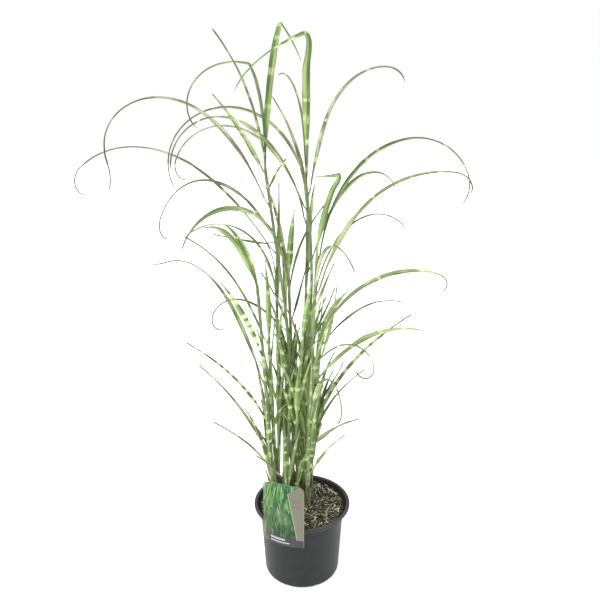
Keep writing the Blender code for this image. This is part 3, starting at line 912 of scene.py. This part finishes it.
def compostFinish():
    finish = Finish("damp compost", Specular_IOR_Level=0.25)
    place = finish.place()
    clods = finish.noise(place, 160, 5, 0.65)
    fine = finish.noise(place, 900, 3, 0.7)
    colour = finish.ramp(clods, compostLook["clods"])
    colour = finish.mix(finish.ease(fine, 0.62, 0.72) * 0.25, colour, compostLook["fleck"])
    return finish.wear(colour, 0.82 + 0.15 * fine, clods + fine * 0.5, 0.9, 0.0012)


def litterFinish():
    # one finish for all that lies on the compost: run holds its tint, and trait its kind
    look = compostLook
    finish = Finish("bark and fibre", Specular_IOR_Level=0.3)
    tint, along, across = finish.attribute("run")
    kind, _, _ = finish.attribute("trait")
    grain = finish.streaks(across * 12, along * 3, tint * 60)
    fine = finish.noise(finish.place(), 1300, 3)
    colour = finish.ramp(tint, look["wood"])
    colour = finish.mix(finish.ease(grain, 0.48, 0.7) * 0.4, colour, look["darkGrain"])
    colour = finish.mix(finish.ease(fine, 0.55, 0.75) * 0.22, colour, look["paleGrain"])
    colour = finish.mix(kind, colour, finish.mix(fine, *look["gritTones"]))
    return finish.wear(colour, 0.70 + 0.2 * grain, grain + fine * 0.4, 0.6, 0.0003)


def buildMound():
    look = compostLook
    spokes = look["spokes"]
    shape = newShape()
    rings = []
    for ring in range(1, look["rings"] + 1):
        rings.append(turnedRing(shape, compostHigh.x * ring / look["rings"], 0, spokes))
        for vertex in rings[-1]:
            vertex.co.z = moundHeight(vertex.co.x, vertex.co.y)
    rings += [turnedRing(shape, radius, height, spokes) for height, radius in look["sides"]]
    rings.append(turnedRing(shape, look["sides"][-1][1] - look["tuck"], compostLow.z, spokes))
    skinTurned(shape, rings, moundHeight(0, 0), compostLow.z)
    makePiece("compost_mound", shape, compostFinish(), ["compost"], 60)


def dropSpot(rng, spread=0.97):
    # a place on the mound that is clear of the stems
    limit = compostHigh.x * spread
    while True:
        spot = heading(rng.uniform(0, 360)) * (limit * math.sqrt(rng.random()))
        if all((spot - line[3].xyz.xy.to_3d()).length > line[3].w + compostLook["stemClear"]
               for line in culmLines.values()):
            return Vector((spot.x, spot.y, moundHeight(spot.x, spot.y)))


def addShred(shape, start, azimuth, length, width, tint, tilt, curl):
    # a bent sliver of wood or a fibre, thinner at both ends
    steps = 5
    section = ((-1, -0.4), (0, -1), (1, -0.3), (0.5, 1), (-0.5, 1))
    spot = start.copy()
    rings = []
    for step in range(steps + 1):
        share = step / steps
        along = heading(azimuth + curl * share)
        rise = math.radians(tilt * (1 - 2 * share))
        forward = along * math.cos(rise) + upward(math.sin(rise))
        side = heading(azimuth + curl * share + 90)
        half = width / 2 * (1 - 0.75 * abs(2 * share - 1) ** 3)
        thick = half * 0.45
        rings.append([addVertex(shape, spot + side * (half * across) + upward(thick * level),
                                (tint, share, across)) for across, level in section])
        spot += forward * (length / steps)
    skinRings(shape, rings)


def addLump(shape, rng, centre, size, tint, kind, level=1):
    # a rough grain or piece of bark
    layers = shape.verts.layers.float_vector
    turn = Matrix.Rotation(rng.uniform(0, 6.3), 4, "Z") @ Matrix.Rotation(rng.uniform(-0.5, 0.5), 4, "X")
    place = Matrix.Translation(centre) @ turn @ Matrix.Diagonal((*size, 1))
    made = bmesh.ops.create_icosphere(shape, subdivisions=level, radius=1, matrix=place)
    shift = Vector((rng.uniform(0, 50), rng.uniform(0, 50), rng.uniform(0, 50)))
    for vertex in made["verts"]:
        rough = noise.noise((vertex.co - centre) / max(size) * 1.3 + shift)
        vertex.co = centre + (vertex.co - centre) * (1 + 0.45 * rough)
        vertex[layers["run"]] = (tint, (vertex.co.x - centre.x) * 300, (vertex.co.y - centre.y) * 300)
        vertex[layers["trait"]] = (kind, 0, 0)


def litterTint(rng, spot):
    # from dark brown to pale, and evened out to a middling brown in the middle of the open side
    tint = rng.choice((rng.uniform(0.0, 0.25), rng.uniform(0.25, 0.70), rng.uniform(0.55, 1.0)))
    middle = math.exp(-((spot.x - 0.035) ** 2 + (spot.y + 0.01) ** 2) / 0.0006)
    return between(tint, rng.uniform(0.25, 0.5), 0.35 * middle)


def buildLitter():
    look = compostLook
    rng = random.Random(look["seed"])
    material = litterFinish()
    shape = newShape()
    for _ in range(look["shreds"]):
        spot = dropSpot(rng)
        length = rng.triangular(*look["shredLength"])
        width = rng.triangular(*look["shredWidth"])
        spot.z += rng.uniform(-0.0004, 0.0016)
        azimuth = rng.uniform(0, 360)
        end = spot + heading(azimuth) * length
        if math.hypot(end.x, end.y) > compostHigh.x:
            continue
        addShred(shape, spot, azimuth, length, width, litterTint(rng, spot),
                 rng.uniform(-8, 32), rng.uniform(-60, 60))
    makePiece("compost_shreds", shape, material, sharp=45)
    shape = newShape()
    for _ in range(look["barkPieces"]):
        spot = dropSpot(rng, 0.94)
        size = rng.triangular(*look["barkSize"])
        addLump(shape, rng, spot + upward(size * 0.15),
                (size, size * rng.uniform(0.4, 0.8), size * rng.uniform(0.2, 0.45)),
                litterTint(rng, spot) * 0.8, 0, 2)
    makePiece("compost_bark", shape, material, sharp=35)
    shape = newShape()
    for _ in range(look["crumbs"]):
        spot = dropSpot(rng, 0.98)
        size = rng.uniform(*look["crumbSize"])
        addLump(shape, rng, spot, (size, size * 0.8, size * 0.7), rng.uniform(0, 0.55), 0)
    for _ in range(look["grit"]):
        spot = dropSpot(rng, 0.96)
        size = rng.uniform(*look["gritSize"])
        addLump(shape, rng, spot + upward(0.0006), (size, size * 0.9, size * 0.8), 0.9, 1, 2)
    makePiece("compost_crumbs", shape, material, sharp=40)


buildMound()
buildLitter()
print("compost laid:", compostLook["shreds"], "shreds,", compostLook["crumbs"], "crumbs")


# plant label: a printed card bent round the front of the rim, and its stake

labelLook = {
    "radius": 0.0972,
    "thickness": 0.0007,
    "bottom": 0.1145,
    "left": -138,
    "right": -88,
    "arch": 0.0035,
    "corner": 0.011,
    "columns": 56,
    "rows": 48,
    "crowding": 0.6,  # of the columns, towards the rounded corners
    "warp": 0.0009,
    "droop": 0.0035,
    "curl": 0.0030,  # the top left corner has sprung forward by this much
    "stakeHeading": -113,
    "stakeWidth": 0.014,
    "stakeThickness": 0.0010,
    "stakeRadius": 0.0735,
    "stakeFoot": 0.085,
    "rimClear": (0.0020, 0.110),  # how far the stake passes over the rim, and the height it runs straight to
    "soiled": (0.141, 0.150),
    "lime": (0.105, 0.218, 0.046),
    "emerald": (0.030, 0.165, 0.055),
    "shade": (0.028, 0.095, 0.032),
    "band": (0.050, 0.047, 0.050),
    "bandTop": (0.125, 0.045),  # at the left edge, and its rise to the right
    "strip": (0.64, 0.868, 0.272, 0.117),  # its inner edge at the slanted top, that top, its lean and its foot
    "slant": (0.42, 0.599, 0.86),  # the cut at the strip's top: slope, height at the left edge, and right end
    "taupe": (0.150, 0.147, 0.105),
    "paper": (0.66, 0.66, 0.58),
    "lightTaupe": (0.26, 0.25, 0.19),
    "darkPrint": (0.014, 0.040, 0.016),
    "barWhite": (0.55, 0.54, 0.55),
    "lineInk": (0.11, 0.095, 0.080),
    "sprungBrown": (0.22, 0.14, 0.07),
    "stubble": ((0.022, 0.042, 0.018), (0.26, 0.30, 0.17)),
    "back": (0.52, 0.55, 0.45),
    # each layer of printed grass: lean, fineness, how sparse it is, tone and strength
    "printedGrass": ((0.16, 11, 0.50, (0.018, 0.062, 0.022), 0.75),
                     (-0.20, 13, 0.54, (0.110, 0.300, 0.075), 0.80),
                     (0.30, 17, 0.56, (0.016, 0.060, 0.022), 0.80),
                     (-0.36, 19, 0.57, (0.190, 0.370, 0.130), 0.80),
                     (0.06, 23, 0.58, (0.012, 0.042, 0.016), 0.85),
                     (0.22, 27, 0.62, (0.420, 0.540, 0.340), 0.85)),
    # plain bars and lines in place of lettering: bottom, top, left and right, as shares of the card
    "bars": ((0.088, 0.118, 0.22, 0.58), (0.042, 0.062, 0.22, 0.68)),
    "lines": ((0.767, 0.778, 0.70, 0.88), (0.737, 0.748, 0.74, 0.84), (0.655, 0.666, 0.72, 0.92)),
    "stakeTones": ((0.40, 0.39, 0.34), (0.56, 0.55, 0.49)),
    "soil": (0.05, 0.035, 0.02),
}


def paintBars(finish, colour, bars, strength, tone):
    across, rise, _ = finish.attribute("run")
    for low, high, left, right in bars:
        bar = (rise > low) * (rise < high) * (across > left) * (across < right)
        colour = finish.mix(bar * strength, colour, tone)
    return colour


def labelFinish():
    # run holds the place on the card, across and up, and 1 on its printed face
    look = labelLook
    finish = Finish("printed card", Specular_IOR_Level=0.22)
    across, rise, printed = finish.attribute("run")
    soft = finish.streaks(across * 5, rise * 4, detail=2)
    colour = finish.mix(finish.ease(across + soft * 0.4, 0.40, 0.70) * finish.ease(rise, 0.52, 0.80),
                        look["lime"], look["emerald"])
    colour = finish.mix(1 - finish.ease(rise + soft * 0.2, 0.20, 0.80), colour, look["shade"])
    # fine blades of grass: upright streaks that lean a little left or right, pale over dark
    for lean, fineness, sparse, tone, strength in look["printedGrass"]:
        streak = finish.streaks((across + rise * lean) * fineness, rise * 4, fineness, 2, 0.5)
        colour = finish.mix(finish.ease(streak, sparse, sparse + 0.06) * strength, colour, tone)
    colour = finish.mix((1 - finish.ease(rise, 0.12, 0.80)) * 0.68, colour, look["darkPrint"])
    corner = (1 - finish.ease(across, 0.14, 0.24)) * (1 - finish.ease(rise, 0.22, 0.42))
    stripes = finish.ease(finish.streaks(across * 70, rise * 3, 9.0, 1), 0.46, 0.54)
    colour = finish.mix(corner * 0.8, colour, finish.mix(stripes, *look["stubble"]))

    bandLeft, bandRise = look["bandTop"]
    aboveBand = rise - (bandLeft + across * bandRise)
    band = (1 - finish.ease(aboveBand, -0.004, 0.004)) * finish.ease(across + soft * 0.1, 0.16, 0.22)
    colour = finish.mix(band, colour, look["band"])
    colour = paintBars(finish, colour, look["bars"], 0.75, look["barWhite"])

    # plain strip down the right side, narrower towards its foot and cut slantwise at its top
    stripInner, stripTop, stripLean, stripFoot = look["strip"]
    inner = stripInner + (stripTop - rise) * stripLean
    strip = finish.ease(across - inner, -0.003, 0.003) * (rise > stripFoot)
    slope, cutHeight, cutEnd = look["slant"]
    slant = finish.ease(rise - across * slope - cutHeight, 0.0, 0.006) * (across < cutEnd)
    strip = strip * (1 - slant)
    mottled = finish.mix(finish.streaks(across * 30, rise * 40, 2.0) * 0.5,
                         look["taupe"], look["lightTaupe"])
    colour = finish.mix(strip, colour, mottled)
    rim = (1 - finish.ease(abs(across - inner - 0.006), 0.003, 0.008)) * strip
    colour = finish.mix(rim * 0.5, colour, look["paper"])
    colour = paintBars(finish, colour, look["lines"], 0.7, look["lineInk"])
    fade = finish.streaks(across * 3, rise * 3, 7.0, 4)
    colour = finish.mix(finish.ease(fade, 0.55, 0.75) * 0.10, colour, look["paper"])
    border = finish.ease(abs(across * 2 - 1), 0.985, 0.995)
    colour = finish.mix(border * 0.5, colour, look["paper"])
    sprung = (1 - finish.ease(across, 0.0, 0.16)) * finish.ease(rise + soft * 0.06, 0.90, 0.96)
    colour = finish.mix(sprung * 0.8, colour, finish.mix(stripes, look["paper"], look["sprungBrown"]))
    back = finish.mix(finish.streaks(across * 9, rise * 9, detail=4), look["paper"], look["back"])
    colour = finish.mix(printed, back, colour)
    scratches = finish.streaks(across * 60, rise * 8, 1.0, 4, 0.7)
    return finish.wear(colour, 0.30 + 0.25 * fade, scratches, 0.12, 0.0002)


def stakeFinish():
    finish = Finish("stake plastic", Specular_IOR_Level=0.5)
    place = finish.place()
    _, _, height = finish.split(place)
    cloud = finish.noise(place, 120, 4)
    colour = finish.mix(cloud, *labelLook["stakeTones"])
    soiled = 1 - finish.ease(height, *labelLook["soiled"])
    colour = finish.mix(soiled * 0.7, colour, labelLook["soil"])
    return finish.wear(colour, 0.42 + 0.2 * cloud, cloud, 0.2, 0.0003)


def buildCard():
    look = labelLook
    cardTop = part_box("plant_label")[1].z
    bottom = look["bottom"]
    top = cardTop - look["arch"]
    width = look["right"] - look["left"]
    shape = newShape()
    rings = []
    for column in range(look["columns"] + 1):
        share = 0.5 - 0.5 * math.cos(math.pi * column / look["columns"])
        share = between(column / look["columns"], share, look["crowding"])
        turn = look["left"] + width * share
        inset = min(share, 1 - share) * math.radians(width) * look["radius"]
        cut = max(look["corner"] - inset, 0)
        rounding = look["corner"] - math.sqrt(max(look["corner"] ** 2 - cut ** 2, 0))
        columnTop = top - rounding + look["arch"] * math.sin(math.pi * share)
        columnTop -= look["droop"] * (1 - ease(share, 0.0, 0.35))
        front, back = [], []
        for row in range(look["rows"] + 1):
            height = between(bottom, columnTop, row / look["rows"])
            rise = (height - bottom) / (cardTop - bottom)
            spring = look["curl"] * ease(rise, 0.80, 1.0) * (1 - ease(share, 0.0, 0.30))
            warp = look["warp"] * math.sin(rise * 5 + 1) * math.sin(share * 4)
            reach = look["radius"] + look["thickness"] + spring + abs(warp)
            sag = upward(height - 0.3 * spring)
            for spots, inward, face in ((front, 0, 1), (back, look["thickness"], 0)):
                spot = heading(turn) * (reach - inward) + sag
                spots.append(addVertex(shape, spot, (share, rise, face)))
        rings.append(front + list(reversed(back)))
    skinRings(shape, rings)
    makePiece("label_card", shape, labelFinish(), ["plant_label"], 40)


def buildStake():
    # a flat strap over the rim and down into the compost
    look = labelLook
    out = heading(look["stakeHeading"])
    clear, straight = look["rimClear"]
    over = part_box("pot")[1].z + clear
    inner = look["stakeRadius"]
    path = roundCorners([(look["radius"], over, 0), (inner, over, 0.004), (inner, straight, 0),
                         (inner, look["stakeFoot"], 0)], 6)
    across = heading(look["stakeHeading"] + 90)
    section = ((-1, -0.35), (-0.93, -0.5), (0.93, -0.5), (1, -0.35),
               (1, 0.35), (0.93, 0.5), (-0.93, 0.5), (-1, 0.35))
    shape = newShape()
    rings = []
    for index, spot in enumerate(path):
        ahead = (path[min(index + 1, len(path) - 1)] - path[max(index - 1, 0)]).normalized()
        normal = Vector((-ahead.y, ahead.x))
        half = look["stakeWidth"] / 2 * (0.3 if index == len(path) - 1 else 1)
        ring = []
        for side, level in section:
            flat = spot + normal * (level * look["stakeThickness"])
            ring.append(shape.verts.new(out * flat.x + upward(flat.y) + across * (half * side)))
        rings.append(ring)
    skinRings(shape, rings)
    makePiece("label_stake", shape, stakeFinish(), sharp=40)


buildCard()
buildStake()
print("label printed and staked")


# scales: dry sheath ends round the feet of the stems

scaleLook = {
    "perStem": 7,
    "marks": 7,  # points across one
    "steps": 9,
    "foot": 0.137,
    "thickness": 0.0003,
    "length": (0.018, 0.085),
    "spread": (28, 80),  # degrees that one reaches round its stem each way
    "flare": (0.0004, 0.0042),
    "stemClear": (0.0011, 0.0003),  # of the first, and more for each further one
    "husk": (0.25, 0.235, 0.125),
    "dark": (0.085, 0.076, 0.042),
    "fibre": (0.40, 0.34, 0.20),
    "green": (0.13, 0.17, 0.055),
}


def scaleFinish():
    look = scaleLook
    finish = Finish("dry sheath", Specular_IOR_Level=0.25)
    across, along, tint = finish.attribute("run")
    fibres = finish.streaks(across * 30, along * 3, tint * 40)
    blotch = finish.streaks(across * 3, along * 4, tint * 90)
    colour = finish.mix(finish.ease(blotch, 0.35, 0.7), look["dark"], look["husk"])
    colour = finish.mix(finish.ease(fibres, 0.5, 0.75) * 0.6, colour, look["fibre"])
    colour = finish.mix(tint * 0.5 * finish.ease(along, 0.2, 0.7), colour, look["green"])
    return finish.wear(colour, 0.6 + 0.2 * fibres, fibres, 0.6, 0.0003)


def buildScales():
    look = scaleLook
    clear, further = look["stemClear"]
    shape = newShape()
    for letter in culmLetters:
        rng = random.Random("scales " + letter)
        for number in range(look["perStem"]):
            turn = rng.uniform(0, 360)
            length = rng.uniform(*look["length"])
            spread = rng.uniform(*look["spread"])
            flare = rng.uniform(*look["flare"])
            tint = rng.random()
            rings = []
            for step in range(look["steps"] + 1):
                share = step / look["steps"]
                centre, radius, _ = culmAt(letter, look["foot"] + length * share)
                reach = radius + clear + further * number + flare * share ** 2
                half = math.radians(spread) * (1 - share ** 2.2) + 0.03
                outer, inner = [], []
                for mark in range(look["marks"]):
                    across = 2 * mark / (look["marks"] - 1) - 1
                    ray = heading(turn + math.degrees(half * across))
                    for spots, cut in ((outer, 0), (inner, look["thickness"])):
                        spots.append(addVertex(shape, centre + ray * (reach - cut),
                                               (across / 2 + 0.5, share, tint)))
                rings.append(outer + list(reversed(inner)))
            skinRings(shape, rings)
    makePiece("dry_scales", shape, scaleFinish(), sharp=60)


buildScales()
print("dry scales set round the stems")


# studio: a white floor, soft lights, and the camera

studioLook = {
    "floor": 14.0,
    "cameraPlace": (-0.004, -1.142, 0.947),
    "cameraTilt": 18.17,
    "lens": 40,
    "paper": ((0.93, 0.93, 0.92), (0.95, 0.95, 0.94)),
    "paperGlow": 0.35,  # keeps the floor white under the plant
    "daylight": 0.68,  # how strongly the white surroundings light the plant
    "lamps": {"key": ((34, 0, -66), 45, 2.6), "fill": ((44, 0, 74), 70, 1.2)},  # turn, softness, strength
}


def buildStudio():
    look = studioLook
    floorShape = bmesh.new()
    bmesh.ops.create_grid(floorShape, x_segments=4, y_segments=4, size=look["floor"] / 2)
    mesh = bpy.data.meshes.new("studio floor")
    floorShape.to_mesh(mesh)
    floorShape.free()
    floor = bpy.data.objects.new("studio_floor", mesh)
    bpy.context.scene.collection.objects.link(floor)
    paper = Finish("white paper", Emission_Color=(1, 1, 1, 1), Emission_Strength=look["paperGlow"])
    colour = paper.mix(paper.noise(paper.place(), 3, 2), *look["paper"])
    mesh.materials.append(paper.wear(colour, 0.9))

    world = bpy.data.worlds.new("studio")
    world.use_nodes = True
    tree = world.node_tree
    background = tree.nodes["Background"]
    background.inputs["Color"].default_value = (1, 1, 1, 1)
    seen = tree.nodes.new("ShaderNodeLightPath")
    level = tree.nodes.new("ShaderNodeMapRange")  # pure white behind the plant, softer as a light
    level.inputs["To Min"].default_value = look["daylight"]
    tree.links.new(seen.outputs["Is Camera Ray"], level.inputs["Value"])
    tree.links.new(level.outputs["Result"], background.inputs["Strength"])
    bpy.context.scene.world = world
    for name, (tilt, softness, strength) in look["lamps"].items():
        lamp = bpy.data.lights.new(name, "SUN")
        lamp.angle = math.radians(softness)
        lamp.energy = strength
        light = bpy.data.objects.new(name, lamp)
        bpy.context.scene.collection.objects.link(light)
        light.rotation_euler = [math.radians(turn) for turn in tilt]

    lens = bpy.data.cameras.new("camera")
    lens.lens = look["lens"]
    camera = bpy.data.objects.new("camera", lens)
    bpy.context.scene.collection.objects.link(camera)
    camera.location = look["cameraPlace"]
    camera.rotation_euler = (math.radians(90 - look["cameraTilt"]), 0, 0)
    bpy.context.scene.camera = camera
    bpy.context.scene.view_settings.view_transform = "Standard"


buildStudio()
print("studio lit")
